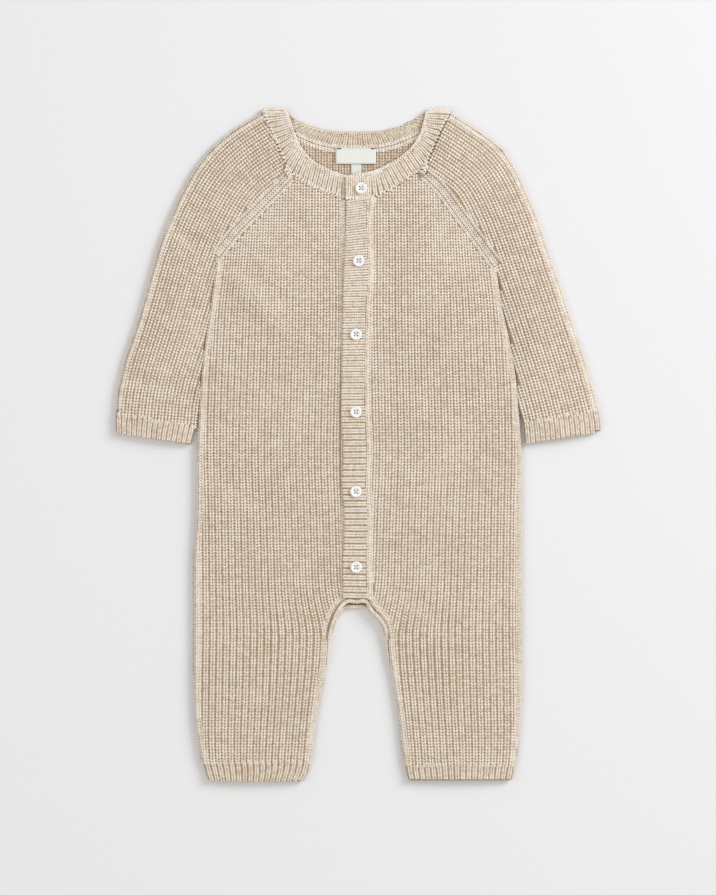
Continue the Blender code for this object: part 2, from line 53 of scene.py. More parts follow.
# Camera, straight above the garment
cameraView = {"height": 5.0, "frameHeight": 0.67125, "middle": (-0.0004, -0.0019)}
camera = addObject("camera", bpy.data.cameras.new("camera"))
camera.location = (*cameraView["middle"], cameraView["height"])
camera.data.sensor_width = 36
camera.data.lens = camera.data.sensor_width * cameraView["height"] / cameraView["frameHeight"]
camera.data.clip_end = 20
bpy.context.scene.camera = camera
print("camera set")


# Small helpers

def easeInOut(value):
    value = min(max(value, 0.0), 1.0)
    return value * value * (3 - 2 * value)


def readTable(rows, at):
    # the other columns of a short table at one value of its first column, which falls
    if at >= rows[0][0]:
        return rows[0][1:]
    for upper, lower in zip(rows, rows[1:]):
        if at >= lower[0]:
            part = (upper[0] - at) / (upper[0] - lower[0])
            return [u + (v - u) * part for u, v in zip(upper[1:], lower[1:])]
    return rows[-1][1:]


def threeWay(part, near, middle, far):
    part = min(max(part, 0.0), 1.0) * 2
    if part < 1:
        return near + (middle - near) * part
    return middle + (far - middle) * (part - 1)


def smoothLine(points, reach):
    # running mean over a few points each way
    line = []
    for k in range(len(points)):
        room = min(reach, k, len(points) - 1 - k)
        near = points[k - room : k + room + 1]
        line.append((sum(p[0] for p in near) / len(near), sum(p[1] for p in near) / len(near)))
    return line


def movedLine(points, distance):
    # the line moved to its right
    moved = []
    for k, (x, y) in enumerate(points):
        x0, y0 = points[max(k - 1, 0)]
        x1, y1 = points[min(k + 1, len(points) - 1)]
        size = math.hypot(x1 - x0, y1 - y0) or 1
        moved.append((x + (y1 - y0) / size * distance, y - (x1 - x0) / size * distance))
    return moved


def stretched(points, extra):
    # the line with both ends drawn out straight
    def beyond(end, inner):
        size = math.dist(end, inner) or 1
        return tuple(e + (e - i) / size * extra for e, i in zip(end, inner))
    few = min(4, len(points) - 1)
    return [beyond(points[0], points[few])] + points + [beyond(points[-1], points[-1 - few])]


def spaced(points, step):
    # points a step apart along the line
    line, left = [points[0]], step
    for start, end in zip(points, points[1:]):
        size = math.dist(start, end)
        while size and left <= size:
            part = left / size
            start = tuple(s + (e - s) * part for s, e in zip(start, end))
            line.append(start)
            size -= left
            left = step
        left -= size
    return line


def distanceTo(line, x, y):
    best = 1e9
    for (x0, y0), (x1, y1) in zip(line, line[1:]):
        dx, dy = x1 - x0, y1 - y0
        part = min(max(((x - x0) * dx + (y - y0) * dy) / (dx * dx + dy * dy + 1e-9), 0), 1)
        best = min(best, math.hypot(x - x0 - dx * part, y - y0 - dy * part))
    return best


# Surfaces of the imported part, in millimetres

rayHeights = (0.5, 2.9, 3.9, 4.9, 5.9, 6.9)
clearOfAll = 40.0     # a height above every piece
outside = 320         # an x beyond both sleeves
surfaces = {}
for nodeName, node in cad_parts.items():
    places = [v.co / mm for v in node.data.vertices]
    surfaces[nodeName] = BVHTree.FromPolygons(places, [tuple(p.vertices) for p in node.data.polygons])


def heightAt(nodeName, x, y, side=1):
    # the node's face met from above (side 1) or below (side -1), or None where it isn't
    hit = surfaces[nodeName].ray_cast(Vector((x, y, clearOfAll * side)), Vector((0, 0, -side)))[0]
    return hit.z if hit else None


def edgeX(nodeName, y, start, toward, heights=rayHeights):
    # x where a level ray along X first meets the node
    found = []
    for z in heights:
        hit = surfaces[nodeName].ray_cast(Vector((start, y, z)), Vector((toward, 0, 0)))[0]
        if hit:
            found.append(hit.x)
    if not found:
        return None
    return min(found) if toward > 0 else max(found)


def edgeLine(nodeName, top, bottom, start, toward, heights=rayHeights):
    # the node's edge from top to bottom as (x, y) points
    points = []
    for step in range(int(top - bottom) + 1):
        x = edgeX(nodeName, top - step, start, toward, heights)
        if x is not None:
            points.append((x, top - step))
    return points


# Creases: soft troughs (below 0) and ridges where the cloth was smoothed by hand.
# Columns: from x, y, to x, y, half width, depth.
creases = [
    (-98, 138, -60, 112, 9, -0.9),
    (-90, 118, -52, 84, 11, 0.7),
    (97, 131, 62, 108, 8, -0.8),
    (92, 112, 58, 74, 12, 0.6),
    (-118, 40, -84, 12, 10, 0.6),
    (-112, -20, -70, -44, 13, -0.7),
    (114, 22, 76, -4, 12, -0.6),
    (108, -52, 64, -70, 11, 0.6),
    (-34, -108, -74, -132, 9, -0.7),
    (34, -110, 70, -138, 10, -0.7),
    (-110, -186, -62, -196, 9, 0.5),
    (112, -172, 60, -188, 10, 0.5),
    (-141, 164, -118, 150, 8, -0.9),
    (-160, 96, -126, 84, 9, 0.8),
    (-170, 52, -138, 44, 8, -0.7),
    (138, 150, 116, 140, 8, -0.9),
    (152, 104, 124, 88, 9, 0.7),
    (166, 58, 134, 48, 8, -0.6),
]


def creaseAt(x, y):
    lift = 0.0
    for x0, y0, x1, y1, width, depth in creases:
        dx, dy = x1 - x0, y1 - y0
        along = ((x - x0) * dx + (y - y0) * dy) / (dx * dx + dy * dy)
        if -0.3 < along < 1.3:
            off = abs((x - x0) * dy - (y - y0) * dx) / math.hypot(dx, dy)
            fade = easeInOut((along + 0.3) / 0.5) * easeInOut((1.3 - along) / 0.5)
            lift += depth * fade * easeInOut(1 - off / width)
    return lift


# Yarn and cloth materials

def newMaterial(name, colour, roughness):
    made = bpy.data.materials.new(name)
    made.use_nodes = True
    shader = made.node_tree.nodes["Principled BSDF"]
    shader.inputs["Base Color"].default_value = (*colour, 1)
    shader.inputs["Roughness"].default_value = roughness
    return made, made.node_tree, shader


def addNode(tree, kind, **values):
    # a node; names that are sockets set their values, and the rest set its properties
    made = tree.nodes.new(kind)
    for key, value in values.items():
        if hasattr(made, key):
            setattr(made, key, value)
        else:
            made.inputs[key.replace("_", " ")].default_value = value
    return made


def feed(tree, kind, values, **settings):
    # a node whose inputs are joined or set in order; gives its result
    node = addNode(tree, kind, **settings)
    for socket, value in zip(node.inputs, values):
        if hasattr(value, "links"):
            tree.links.new(value, socket)
        else:
            socket.default_value = value
    return node.outputs[0]


def maths(tree, operation, *values):
    return feed(tree, "ShaderNodeMath", values, operation=operation)


def addRamp(tree, shader, value, low, high):
    # colours the shader by a value, between two (value, colour) pairs
    ramp = addNode(tree, "ShaderNodeValToRGB")
    for element, (position, colour) in zip(ramp.color_ramp.elements, (low, high)):
        element.position = position
        element.color = (*colour, 1)
    tree.links.new(value, ramp.inputs["Fac"])
    tree.links.new(ramp.outputs["Color"], shader.inputs["Base Color"])


def objectPlace(tree):
    return addNode(tree, "ShaderNodeTexCoord").outputs["Object"]


def addBump(tree, shader, height, strength, distance):
    raised = addNode(tree, "ShaderNodeBump", Strength=strength, Distance=distance)
    tree.links.new(height, raised.inputs["Height"])
    tree.links.new(raised.outputs["Normal"], shader.inputs["Normal"])


def noiseOn(tree, place, scale, detail=2.0, stretch=(1, 1, 1)):
    mapping = addNode(tree, "ShaderNodeMapping", Scale=stretch)
    noise = addNode(tree, "ShaderNodeTexNoise", Scale=scale, Detail=detail)
    tree.links.new(place, mapping.inputs["Vector"])
    tree.links.new(mapping.outputs["Vector"], noise.inputs["Vector"])
    return noise


# Each yarn's light and darker tone
yarn = {
    "stitches": ((0.925, 0.85, 0.757), (0.79, 0.68, 0.555)),
    # the inside tones are darker as painted shade, for the inside of the back and of the neckband lying
    # in shade
    "inside": ((0.86, 0.765, 0.65), (0.69, 0.57, 0.44)),
    "chains": ((0.95, 0.89, 0.81), (0.86, 0.77, 0.66)),
    "cuffs": ((0.885, 0.80, 0.70), (0.72, 0.60, 0.47)),
    # the ground tones are painted shade: the cloth between and under the stitches is darkened for the
    # shade in the grooves
    "groundInShade": ((0.57, 0.44, 0.31), (0.38, 0.27, 0.17)),
    "sheen": 0.25,
    "fleck": 620.0,     # melange flecks a metre
    "fibre": 2600.0,
}


def yarnMaterial(name, light, mid, bump=0.5):
    # melange yarn: flecks of two tones, a tone for each stitch, and fine fibres
    made, tree, shader = newMaterial(name, light, 0.92)
    place = objectPlace(tree)
    flecks = noiseOn(tree, place, yarn["fleck"], 3.0)
    cloud = noiseOn(tree, place, 22.0, 2.0)
    fibres = noiseOn(tree, place, yarn["fibre"], 4.0, (1, 0.35, 1))
    tone = addNode(tree, "ShaderNodeAttribute", attribute_name="tone")
    spread = maths(tree, "MULTIPLY_ADD", cloud.outputs["Fac"], 0.30, -0.28)
    blend = maths(tree, "MULTIPLY_ADD", tone.outputs["Fac"], 0.30, spread)
    total = maths(tree, "ADD", blend, flecks.outputs["Fac"])
    addRamp(tree, shader, total, (0.34, mid), (0.60, light))
    addBump(tree, shader, fibres.outputs["Fac"], bump, 0.0002)
    shader.inputs["Sheen Weight"].default_value = yarn["sheen"]
    shader.inputs["Sheen Roughness"].default_value = 0.5
    shader.inputs["Sheen Tint"].default_value = (1.0, 0.95, 0.88, 1)
    shader.inputs["Specular IOR Level"].default_value = 0.15
    return made


stitchLook = yarnMaterial("melange yarn", *yarn["stitches"])
# the inside yarn is painted darker, as painted shade where the inside of the back and the band lie in
# shade
shadedInsideLook = yarnMaterial("melange yarn inside darkened as painted shade", *yarn["inside"])
chainLook = yarnMaterial("melange yarn of the chains", *yarn["chains"])
# the yarn between the ribs is painted dark, as painted shade in the grooves between the stitches
groundShadeLook = yarnMaterial("knit between the ribs darkened as painted shade", *yarn["groundInShade"], 0.7)


# The stitch tree: instances of a two-legged stitch along every wale

def stitchTree():
    tree = bpy.data.node_groups.new("stitches along wales", "GeometryNodeTree")
    face = tree.interface
    face.new_socket("Wales", in_out="INPUT", socket_type="NodeSocketGeometry")
    face.new_socket("Stitches", in_out="OUTPUT", socket_type="NodeSocketGeometry")
    sockets = {
        "Float": (
            "Leg length", "Leg spread", "Leg lean", "Leg dip", "Yarn width", "Yarn height",
            "Bar offset", "Bar length", "Bar width", "Bar drop", "Unevenness",
        ),
        "Bool": ("Bars",),
        "Int": ("Segments", "Rings", "Seed"),
        "Material": ("Yarn",),
    }
    for kind, names in sockets.items():
        for name in names:
            face.new_socket(name, in_out="INPUT", socket_type="NodeSocket" + kind)
    given = tree.nodes.new("NodeGroupInput").outputs
    link = tree.links.new

    def times(a, b):
        return maths(tree, "MULTIPLY", a, b)

    def vector(x, y, z):
        return feed(tree, "ShaderNodeCombineXYZ", (x, y, z))

    wales = addNode(tree, "GeometryNodeMeshToCurve")
    link(given["Wales"], wales.inputs[0])
    sphere = addNode(tree, "GeometryNodeMeshUVSphere", Radius=1.0)
    link(given["Segments"], sphere.inputs["Segments"])
    link(given["Rings"], sphere.inputs["Rings"])
    upright = addNode(tree, "GeometryNodeTransform", Rotation=(math.pi / 2, 0, 0))
    link(sphere.outputs["Mesh"], upright.inputs["Geometry"])
    half = vector(
        times(given["Yarn width"], 0.5),
        times(given["Leg length"], 0.5),
        times(given["Yarn height"], 0.5),
    )
    shaped = addNode(tree, "GeometryNodeTransform")
    link(upright.outputs[0], shaped.inputs["Geometry"])
    link(half, shaped.inputs["Scale"])
    legs = addNode(tree, "GeometryNodeJoinGeometry")
    for side in (1, -1):
        leg = addNode(tree, "GeometryNodeTransform")
        link(shaped.outputs[0], leg.inputs["Geometry"])
        link(vector(times(given["Leg spread"], side), 0, 0), leg.inputs["Translation"])
        turn = vector(times(given["Leg dip"], -1), 0, times(given["Leg lean"], -side))
        link(turn, leg.inputs["Rotation"])
        link(leg.outputs[0], legs.inputs[0])

    # a bar of yarn that crosses the groove to the next wale
    bead = addNode(tree, "GeometryNodeMeshUVSphere", Segments=4, Rings=2, Radius=1.0)
    bar = addNode(tree, "GeometryNodeTransform", Rotation=(0, math.pi / 2, 0))
    link(bead.outputs["Mesh"], bar.inputs["Geometry"])
    crossing = addNode(tree, "GeometryNodeTransform")
    link(bar.outputs[0], crossing.inputs["Geometry"])
    halfBar = times(given["Bar width"], 0.5)
    link(vector(times(given["Bar length"], 0.5), halfBar, halfBar), crossing.inputs["Scale"])
    drop = times(given["Bar drop"], -1)
    link(vector(given["Bar offset"], 0, drop), crossing.inputs["Translation"])
    barred = addNode(tree, "GeometryNodeSwitch", input_type="GEOMETRY")
    link(given["Bars"], barred.inputs["Switch"])
    link(crossing.outputs[0], barred.inputs["True"])
    link(barred.outputs[0], legs.inputs[0])

    along = addNode(tree, "GeometryNodeInputTangent")
    wobble = addNode(tree, "FunctionNodeRandomValue", data_type="FLOAT_VECTOR")
    less = times(given["Unevenness"], -1)
    low = vector(less, 0, less)
    high = vector(given["Unevenness"], 0, given["Unevenness"])
    link(low, wobble.inputs[0])
    link(high, wobble.inputs[1])
    link(given["Seed"], wobble.inputs["Seed"])
    added = addNode(tree, "ShaderNodeVectorMath", operation="ADD")
    link(along.outputs[0], added.inputs[0])
    link(wobble.outputs[0], added.inputs[1])
    up = addNode(tree, "GeometryNodeInputNamedAttribute", data_type="FLOAT_VECTOR")
    up.inputs["Name"].default_value = "up"
    turned = addNode(tree, "FunctionNodeAxesToRotation", primary_axis="Z", secondary_axis="Y")
    link(up.outputs["Attribute"], turned.inputs["Primary Axis"])
    link(added.outputs[0], turned.inputs["Secondary Axis"])
    size = addNode(tree, "FunctionNodeRandomValue", data_type="FLOAT")
    link(maths(tree, "SUBTRACT", 1.0, given["Unevenness"]), size.inputs[2])
    link(maths(tree, "ADD", 1.0, given["Unevenness"]), size.inputs[3])
    link(maths(tree, "ADD", given["Seed"], 1), size.inputs["Seed"])
    placed = addNode(tree, "GeometryNodeInstanceOnPoints")
    link(wales.outputs[0], placed.inputs["Points"])
    link(legs.outputs[0], placed.inputs["Instance"])
    link(turned.outputs[0], placed.inputs["Rotation"])
    link(size.outputs[1], placed.inputs["Scale"])
    shade = addNode(tree, "FunctionNodeRandomValue", data_type="FLOAT")
    link(maths(tree, "ADD", given["Seed"], 2), shade.inputs["Seed"])
    stored = addNode(tree, "GeometryNodeStoreNamedAttribute", data_type="FLOAT", domain="INSTANCE")
    stored.inputs["Name"].default_value = "tone"
    link(placed.outputs[0], stored.inputs["Geometry"])
    link(shade.outputs[1], stored.inputs["Value"])
    real = addNode(tree, "GeometryNodeRealizeInstances")
    link(stored.outputs[0], real.inputs[0])
    smooth = addNode(tree, "GeometryNodeSetShadeSmooth")
    link(real.outputs[0], smooth.inputs[0])
    finish = addNode(tree, "GeometryNodeSetMaterial")
    link(smooth.outputs[0], finish.inputs["Geometry"])
    link(given["Yarn"], finish.inputs["Material"])
    result = tree.nodes.new("NodeGroupOutput")
    link(finish.outputs[0], result.inputs["Stitches"])
    return tree


stitches = stitchTree()
totals = {"triangles": 0}
inMillimetres = (
    "Leg length", "Leg spread", "Yarn width", "Yarn height", "Bar offset", "Bar length", "Bar width",
    "Bar drop",
)


def planarMap(mesh):
    # one flat map from above, named OFBake, over the whole piece in one sheet
    layer = mesh.uv_layers.get("OFBake") or mesh.uv_layers.new(name="OFBake")
    xs = [v.co.x for v in mesh.vertices]
    ys = [v.co.y for v in mesh.vertices]
    left, low = min(xs), min(ys)
    size = max(max(xs) - left, max(ys) - low)
    values = []
    for loop in mesh.loops:
        values += [(xs[loop.vertex_index] - left) / size, (ys[loop.vertex_index] - low) / size]
    layer.data.foreach_set("uv", values)


def finishPiece(piece, replaced=None):
    # counts the piece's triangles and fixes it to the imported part
    piece.data.calc_loop_triangles()
    count = len(piece.data.loop_triangles)
    totals["triangles"] += count
    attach(piece, "root")
    if replaced:
        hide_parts(replaced)
    print(f"{piece.name}: {count} triangles")
    return piece


def knit(name, lines, settings, look):
    # stitches along lines of (point, up), each line running from its first row to its last
    mesh = bpy.data.meshes.new(name)
    verts, edges, ups = [], [], []
    for line in lines:
        first = len(verts)
        for point, up in line:
            verts.append([c * mm for c in point])
            ups += list(up)
        edges += [(first + k, first + k + 1) for k in range(len(line) - 1)]
    mesh.from_pydata(verts, edges, [])
    mesh.attributes.new("up", "FLOAT_VECTOR", "POINT").data.foreach_set("vector", ups)
    piece = addObject(name, mesh)
    modifier = piece.modifiers.new("Stitches", "NODES")
    modifier.node_group = stitches
    for socket in stitches.interface.items_tree:
        if socket.in_out == "INPUT" and socket.name in settings:
            value = settings[socket.name]
            modifier[socket.identifier] = value * mm if socket.name in inMillimetres else value
        elif socket.in_out == "INPUT" and socket.name == "Yarn":
            modifier[socket.identifier] = look
    view = bpy.context.evaluated_depsgraph_get()
    made = bpy.data.meshes.new_from_object(piece.evaluated_get(view))
    piece.modifiers.clear()
    piece.data = made
    made.name = name
    planarMap(made)
    return finishPiece(piece)


def levelLine(points, z):
    return [((x, y, z), Vector((0, 0, 1))) for x, y in points]


def alongEdge(points, nodeName, inward, rise=0.0):
    # a line over a seam: each point takes its height from the cloth just beside it
    line = []
    for (x, y), (nearX, nearY) in zip(points, movedLine(points, inward)):
        z = heightAt(nodeName, nearX, nearY)
        if z is not None:
            line.append(((x, y, z + rise + creaseAt(x, y)), Vector((0, 0, 1))))
    return [line]


def drawnOut(line, first, last=0.0):
    # the line's ends carried on straight over a seam
    line = list(line)
    if first:
        end, inner = Vector(line[0][0]), Vector(line[1][0])
        line.insert(0, (end + (end - inner).normalized() * first, line[0][1]))
    if last:
        end, inner = Vector(line[-1][0]), Vector(line[-2][0])
        line.append((end + (end - inner).normalized() * last, line[-1][1]))
    return line


slopeReach = 1.2      # how far to each side the slope is felt
dropPastEdge = 1.1    # how much lower the cloth is taken to be past its edge


def onCloth(points, nodeName, sink, side=1, keep=None, shortest=3):
    # lifts (x, y) points onto a node's face and gives each its up; gaps split the line
    lines, line = [], []
    for x, y in points:
        z = heightAt(nodeName, x, y, side)
        if z is None or (keep and not keep(x, y)):
            if len(line) >= shortest:
                lines.append(line)
            line = []
            continue
        slopes = []
        for dx, dy in ((slopeReach, 0), (0, slopeReach)):
            heights = []
            for sign in (1, -1):
                near = heightAt(nodeName, x + dx * sign, y + dy * sign, side)
                heights.append(z - side * dropPastEdge if near is None else near)
            slopes.append((heights[0] - heights[1]) / (2 * slopeReach))
        if side < 0 and z < 2:    # level where the cloth rests on the floor
            slopes = [0, 0]
        up = Vector((-slopes[0], -slopes[1], 1)).normalized() * side
        lift = creaseAt(x, y) if side > 0 else 0
        line.append(((x - up.x * sink, y - up.y * sink, z + lift - up.z * sink), up))
    if len(line) >= shortest:
        lines.append(line)
    return lines


def nodeCopy(nodeName, name, look):
    # a copy of the node's mesh, and a bmesh of it with its corners joined
    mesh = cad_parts[nodeName].data.copy()
    mesh.name = name
    mesh.materials.clear()
    mesh.materials.append(look)
    for layer in list(mesh.uv_layers):
        mesh.uv_layers.remove(layer)
    body = bmesh.new()
    body.from_mesh(mesh)
    bmesh.ops.remove_doubles(body, verts=body.verts, dist=0.00001)
    return mesh, body


def keepForm(body, mesh):
    body.to_mesh(mesh)
    body.free()
    mesh.shade_smooth()


# Cloth under the stitches: a thin shell on each solid's own form, in the dark ground yarn by default,
# which paints the shade between the stitches

def clothShell(nodeName, name, inset, creased=False, longest=7.0, look=groundShadeLook, under=None):
    # under is the inset of faces that look down, so that their stitches end on the floor
    mesh, shell = nodeCopy(nodeName, name, look)
    for _ in range(4):
        long = [e for e in shell.edges if e.calc_length() > longest * mm]
        if not long:
            break
        bmesh.ops.subdivide_edges(shell, edges=long, cuts=1)
        bmesh.ops.triangulate(shell, faces=shell.faces)
    shell.normal_update()
    low = min(v.co.z for v in shell.verts)
    high = max(v.co.z for v in shell.verts)
    for vert in shell.verts:
        down = easeInOut(-vert.normal.z * 2) if under else 0
        vert.co -= vert.normal * (inset + ((under or inset) - inset) * down) * mm
    if creased:
        for vert in shell.verts:
            part = (vert.co.z - low) / (high - low)
            if part > 0.3:
                vert.co.z += creaseAt(vert.co.x / mm, vert.co.y / mm) * mm
    keepForm(shell, mesh)
    return finishPiece(addObject(name, mesh), nodeName)


# Fronts. Wale and row are spacings, and each clear is where stitches stop short of an edge.

frontKnit = {
    "wales": 27, "wale": 4.62, "firstWale": 5.9, "row": 2.2,
    "startY": 96.0, "top": 206, "bottom": -243, "sink": 0.05,
    "clear": 2.3, "raglanClear": 5.0, "flankClear": 2.2, "placketClear": 3.4,
    "stitch": {
        "Leg length": 2.8, "Leg spread": 1.05, "Leg lean": 0.48, "Leg dip": 0.2,
        "Yarn width": 1.88, "Yarn height": 1.6, "Bars": True, "Bar offset": 2.31,
        "Bar length": 2.3, "Bar width": 1.05, "Bar drop": 0.42, "Unevenness": 0.07,
        "Segments": 4, "Rings": 3, "Seed": 11,
    },
    "ridge": {
        "Leg length": 2.8, "Leg spread": 0.66, "Leg lean": 0.34, "Leg dip": 0.10,
        "Yarn width": 1.5, "Yarn height": 1.8, "Bars": False, "Unevenness": 0.05,
        "Segments": 4, "Rings": 3, "Seed": 21,
    },
    "raglanColumns": (1.0, 3.8),
}
raglanStitch = dict(
    frontKnit["ridge"],
    **{"Leg spread": 0.52, "Yarn width": 1.3, "Leg lean": 0.36, "Seed": 23}
)
seamRow = 2.1    # between the stitches of a column beside a seam or a fold

# Plainer stitches, further apart, for the sides that face the floor
underStitch = dict(
    frontKnit["stitch"],
    **{"Leg length": 3.7, "Yarn width": 1.9, "Yarn height": 1.3, "Bars": False, "Segments": 3, "Seed": 61}
)
underRow = 2.9
underSink = 0.72    # how deep they sit in the cloth's face, so that they end on the floor

# How far the wales lean outward, in degrees, as they run down.
# Columns: y, and the lean at the placket, midway and at the side.
waleLean = [
    (190, 0, 1, 6),
    (146, 0, 1, 7),
    (116, -1, 1, 8),
    (86, 1, 1, 3),
    (49, 1, 2, 3),
    (11, 1.5, 1.5, 0.5),
    (-26, -2.5, -2.5, -1.5),
    (-64, -1.5, -1.8, -0.4),
    (-96, -2, -1.5, -0.4),
    (-108, -9, -3, 0),
    (-122, -17, -4, 0),
    (-134, -12, -2, 0.5),
    (-146, 2, 1.5, 1),
    (-176, 7, 1.5, 0.5),
    (-206, 6, 3.5, 0),
    (-232, 5, 2, -5),
]


def waleLines(side, nearX, farX, settings, leans=waleLean):
    # wales of one half of the body, from hem to neck; side is -1 at left
    lines = []
    step = settings["row"]
    for k in range(settings["wales"]):
        startX = nearX(settings["startY"]) + side * (settings["firstWale"] + k * settings["wale"])
        halves = []
        for toward, stop in ((1, settings["top"]), (-1, settings["bottom"])):
            x, y, points = startX, settings["startY"], []
            while (stop - y) * toward > 0:
                near, far = nearX(y), farX(y)
                lean = threeWay(abs(x - near) / max(abs(far - near), 1), *readTable(leans, y))
                x -= side * math.tan(math.radians(lean)) * step * toward
                y += step * toward
                points.append((x, y))
            halves.append(points)
        lines.append(halves[1][::-1] + [(startX, settings["startY"])] + halves[0])
    return lines


def sideRows(nodeName, side):
    # (y, x at the placket or inner leg, x at the side) of a front, falling
    rows = []
    for y in range(204, -241, -4):
        near = edgeX(nodeName, y, 0, side)
        far = edgeX(nodeName, y, outside * side, -side)
        if near is not None:
            rows.append((y, near, far))
    return rows


def columnBeside(edge, distance):
    # the places of a column of stitches beside an edge, from its end to its start
    return spaced(movedLine(edge, distance)[::-1], seamRow)


def edgeWale(points, side, z, tilt=0.75):
    # a line of stitches along a folded edge, leaning outward
    up = Vector((side * tilt, 0, 1)).normalized()
    return [((x, y, z), up) for x, y in points]


# Each front: its edges found on the imported part, then its wales, edge columns, raglan columns and shell
placketBottom = -114
armpit = {"front_left": 143, "front_right": 136}
raglans = {}
for nodeName, side in (("front_left", -1), ("front_right", 1)):
    rows = sideRows(nodeName, side)
    armpitX = readTable(rows, armpit[nodeName])[1]
    seamX = readTable(rows, 60)[0]

    def nearX(y, rows=rows, seamX=seamX):
        return seamX if y > placketBottom else readTable(rows, y)[0]

    def farX(y, rows=rows, armpitX=armpitX, top=armpit[nodeName]):
        return armpitX if y > top else readTable(rows, y)[1]

    raglan = smoothLine(edgeLine(nodeName, 203, armpit[nodeName], outside * side, -side), 4)
    seam = edgeLine(nodeName, 183, -113, 0, side)
    leg = smoothLine(edgeLine(nodeName, -116, -240, 0, side), 5)
    flank = smoothLine(edgeLine(nodeName, armpit[nodeName] - 3, -241, outside * side, -side), 4)
    raglans[nodeName] = raglan

    def keep(x, y, side=side, raglan=raglan, seam=seam, leg=leg, flank=flank, rows=rows):
        if y > 130 and distanceTo(raglan[::5], x, y) < frontKnit["raglanClear"]:
            return False
        if y < flank[0][1] and (readTable(rows, y)[1] - x) * side < frontKnit["flankClear"]:
            return False
        if y > placketBottom:
            near = seam[min(max(int(183 - y), 0), len(seam) - 1)][0]
            return (x - near) * side > frontKnit["placketClear"] or y > 186
        return distanceTo(leg[::6], x, y) > frontKnit["clear"]

    wales = waleLines(side, nearX, farX, frontKnit)
    lines = []
    for wale in wales:
        for line in onCloth(wale, nodeName, frontKnit["sink"], keep=keep):
            lines.append(drawnOut(line, 2.0 if line[0][0][1] < -230 else 0))
    ridges, columns = [], []
    for offset in frontKnit["raglanColumns"]:
        columns += alongEdge(columnBeside(raglan, offset * side), nodeName, -1.2 * side, 0.1)
    corner = [raglan[-5], raglan[-1], flank[0], flank[4]]
    ridges += alongEdge(spaced(movedLine(corner, 0.2 * side), seamRow), nodeName, side, -0.5)
    for offset in (0.75, 2.75):
        column = smoothLine([(x + offset * side, y) for x, y in seam], 6)[::-1]
        for line in onCloth(spaced(column, seamRow), nodeName, 0.0):
            ridges.append(drawnOut(line, 1.9, 2.0))
    for offset, sink in ((0.8, 0.0), (2.9, 0.2)):
        ridges += onCloth(columnBeside(leg, -offset * side), nodeName, sink)
    ridges.append(edgeWale(columnBeside(flank, 0.9 * side), side, 4.5))
    ridges += onCloth(columnBeside(flank, 3.0 * side), nodeName, 0.25)
    short = "Left" if side < 0 else "Right"
    shell = clothShell(nodeName, f"front{short}", 0.14, creased=True)
    field = knit(f"front{short}Wales", lines, frontKnit["stitch"], stitchLook)
    edging = knit(f"front{short}Edging", ridges, frontKnit["ridge"], stitchLook)
    seaming = knit(f"front{short}Raglan", columns, raglanStitch, chainLook)

# Sleeves, knitted all round

sleeveKnit = {
    "wales": 13, "wale": 5.0, "firstWale": 3.7, "row": 2.25, "sink": 0.05, "clear": 4.2,
    "beyond": 16,    # how far the wales are drawn past both ends before they are cut to the sleeve
    "stitch": dict(
        frontKnit["stitch"],
        **{"Leg spread": 1.15, "Yarn width": 2.05, "Bar offset": 2.5, "Bar length": 2.5, "Seed": 31}
    ),
}
for nodeName, frontName, side in (
    ("sleeve_left", "front_left", -1), ("sleeve_right", "front_right", 1)
):
    short = "Left" if side < 0 else "Right"
    overarm = smoothLine(edgeLine(nodeName, 249, 28, outside * side, -side, (1.2, 2.5, 3.9)), 6)
    raglan = movedLine(raglans[frontName], -0.3 * side)

    def keep(x, y, raglan=raglan):
        return distanceTo(raglan[::5], x, y) > sleeveKnit["clear"]

    drawn = stretched(overarm, sleeveKnit["beyond"])
    base = smoothLine(spaced(drawn, sleeveKnit["row"]), 7)
    coarse = smoothLine(spaced(drawn, underRow), 5)
    lines, hidden = [], []
    for k in range(sleeveKnit["wales"]):
        offset = side * (sleeveKnit["firstWale"] + k * sleeveKnit["wale"])
        wale = spaced(smoothLine(movedLine(base, offset), 6)[::-1], sleeveKnit["row"])
        for line in onCloth(wale, nodeName, sleeveKnit["sink"], keep=keep):
            lines.append(drawnOut(line, 1.6 if line[0][0][1] < 30 else 0))
        wale = spaced(smoothLine(movedLine(coarse, offset), 4)[::-1], underRow)
        hidden += onCloth(wale, nodeName, underSink, side=-1)
    ridges, columns = [], []
    for offset in frontKnit["raglanColumns"]:
        columns += alongEdge(columnBeside(raglan, -offset * side), nodeName, 1.2 * side, 0.1)
    fold = columnBeside(overarm, 0.8 * side)
    ridges.append(edgeWale(fold, side, 3.7))
    ridges.append(edgeWale(fold, side * 3, 1.7, 1.0))
    ridges += onCloth(columnBeside(overarm, 2.7 * side), nodeName, 0.2)
    underarm = smoothLine(edgeLine(nodeName, armpit[frontName] - 6, 20, 0, side, (1.2, 3.9)), 4)
    ridges.append(edgeWale(columnBeside(underarm, -1.0 * side), -side, 3.0))
    shell = clothShell(nodeName, f"sleeve{short}", 0.14, creased=True, under=0.9)
    field = knit(f"sleeve{short}Wales", lines, sleeveKnit["stitch"], stitchLook)
    below = knit(f"sleeve{short}Underside", hidden, underStitch, stitchLook)
    edging = knit(f"sleeve{short}Edging", ridges, frontKnit["ridge"], stitchLook)
    seaming = knit(f"sleeve{short}Raglan", columns, raglanStitch, stitchLook)
print("fronts and sleeves knitted")

# Back: its inside shows at the neck, and its underside is knitted in coarser stitches

